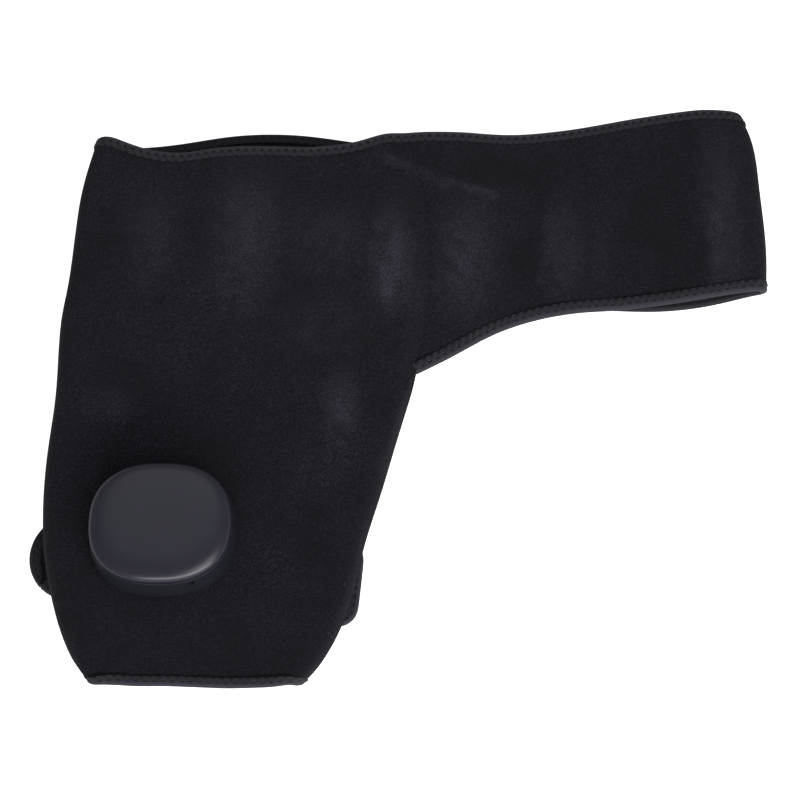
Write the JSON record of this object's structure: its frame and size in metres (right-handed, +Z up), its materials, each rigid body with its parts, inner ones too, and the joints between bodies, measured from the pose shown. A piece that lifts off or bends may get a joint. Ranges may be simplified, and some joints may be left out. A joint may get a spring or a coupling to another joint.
{
  "type": "shoulder massage wrap",
  "caption": "Padded cloth shoulder wrap laid flat: an arm sleeve and chest strap with bound edges, hidden vibration modules and heater, and a squircle control pod whose whole face presses in.",
  "frame": {"origin": "middle of the wrap's footprint as it lies flat, on the table under it", "axes": "+X across the wrap towards the chest strap's fold, +Y from the sleeve's hem to the neck edge, +Z up from the table out of the pod's press face"},
  "size_m": [0.431, 0.363, 0.051],
  "materials": {
    "body_cloth": "brushed loop pile",
    "edge_binding": "smooth knitted tape",
    "lining_cloth": "smooth knit",
    "hook_tape": "moulded hooks",
    "heater_foil": "film",
    "cable_jacket": "matt",
    "pod_cap_plastic": "satin",
    "pod_base_plastic": "satin",
    "inner_plastic": "matt",
    "board_resin": "satin",
    "cell_foil": "satin",
    "steel": "machined"
  },
  "bodies": {
    "wrap": {"main_panel": "body_cloth", "neck_binding": "edge_binding", "hem_binding": "edge_binding", "chest_strap": "body_cloth", "strap_top_binding": "edge_binding", "strap_bottom_binding": "edge_binding", "arm_strap": "body_cloth", "arm_strap_binding": "edge_binding", "arm_hook_patch": "hook_tape", "inner_lining": "lining_cloth", "heater_film": "heater_foil", "wire_harness": "cable_jacket", "pod_base": "pod_base_plastic", "circuit_board": "board_resin", "battery": "cell_foil", "switch_body": "inner_plastic", "charging_jack": "inner_plastic", "clamp_plate": "inner_plastic", "clamp_screw_1": "steel", "clamp_screw_2": "steel", "clamp_screw_3": "steel", "clamp_screw_4": "steel", "module_tray_1": "inner_plastic", "module_lid_1": "inner_plastic", "motor_1": "steel", "module_tray_2": "inner_plastic", "module_lid_2": "inner_plastic", "motor_2": "steel", "module_tray_3": "inner_plastic", "module_lid_3": "inner_plastic", "motor_3": "steel"},
    "press_face": {"press_cap": "pod_cap_plastic"},
    "switch_key": {"switch_plunger": "inner_plastic"},
    "arm_tab": {"arm_strap_tab": "body_cloth", "arm_tab_binding": "edge_binding"},
    "strap_end": {"strap_end_tab": "body_cloth", "strap_end_binding": "edge_binding", "strap_hook_patch": "hook_tape"},
    "spinning_weight_1": {"motor_weight_1": "steel"},
    "spinning_weight_2": {"motor_weight_2": "steel"},
    "spinning_weight_3": {"motor_weight_3": "steel"}
  },
  "joints": [
    {"name": "press_face_travel", "type": "slide", "parent": "wrap", "child": "press_face", "axis": [0, 0, -1], "range_m": [0, 0.0006], "stiffness_N_per_m": 2500, "springref_m": -0.0006},
    {"name": "switch_key_travel", "type": "slide", "parent": "wrap", "child": "switch_key", "axis": [0, 0, -1], "range_m": [0, 0.0009]},
    {"name": "arm_tab_lift", "type": "hinge", "parent": "wrap", "child": "arm_tab", "pos_m": [-0.20611, -0.10144, 0.00563], "axis": [0.0998, 0.995, 0], "range_deg": [0, 65]},
    {"name": "strap_end_peel", "type": "hinge", "parent": "wrap", "child": "strap_end", "pos_m": [-0.02691, 0.10725, 0.00003], "axis": [0, -1, 0], "range_deg": [0, 75]},
    {"name": "weight_1_spin", "type": "hinge", "parent": "wrap", "child": "spinning_weight_1", "pos_m": [-0.10416, 0.08191, 0.02143], "axis": [0, 1, 0], "continuous": true},
    {"name": "weight_2_spin", "type": "hinge", "parent": "wrap", "child": "spinning_weight_2", "pos_m": [-0.03396, 0.06073, 0.02143], "axis": [0, 1, 0], "continuous": true},
    {"name": "weight_3_spin", "type": "hinge", "parent": "wrap", "child": "spinning_weight_3", "pos_m": [-0.04433, -0.01312, 0.02143], "axis": [0, 1, 0], "continuous": true}
  ],
  "couplings": [
    {"joint": "switch_key_travel", "follows": "press_face_travel", "ratio": 1}
  ]
}
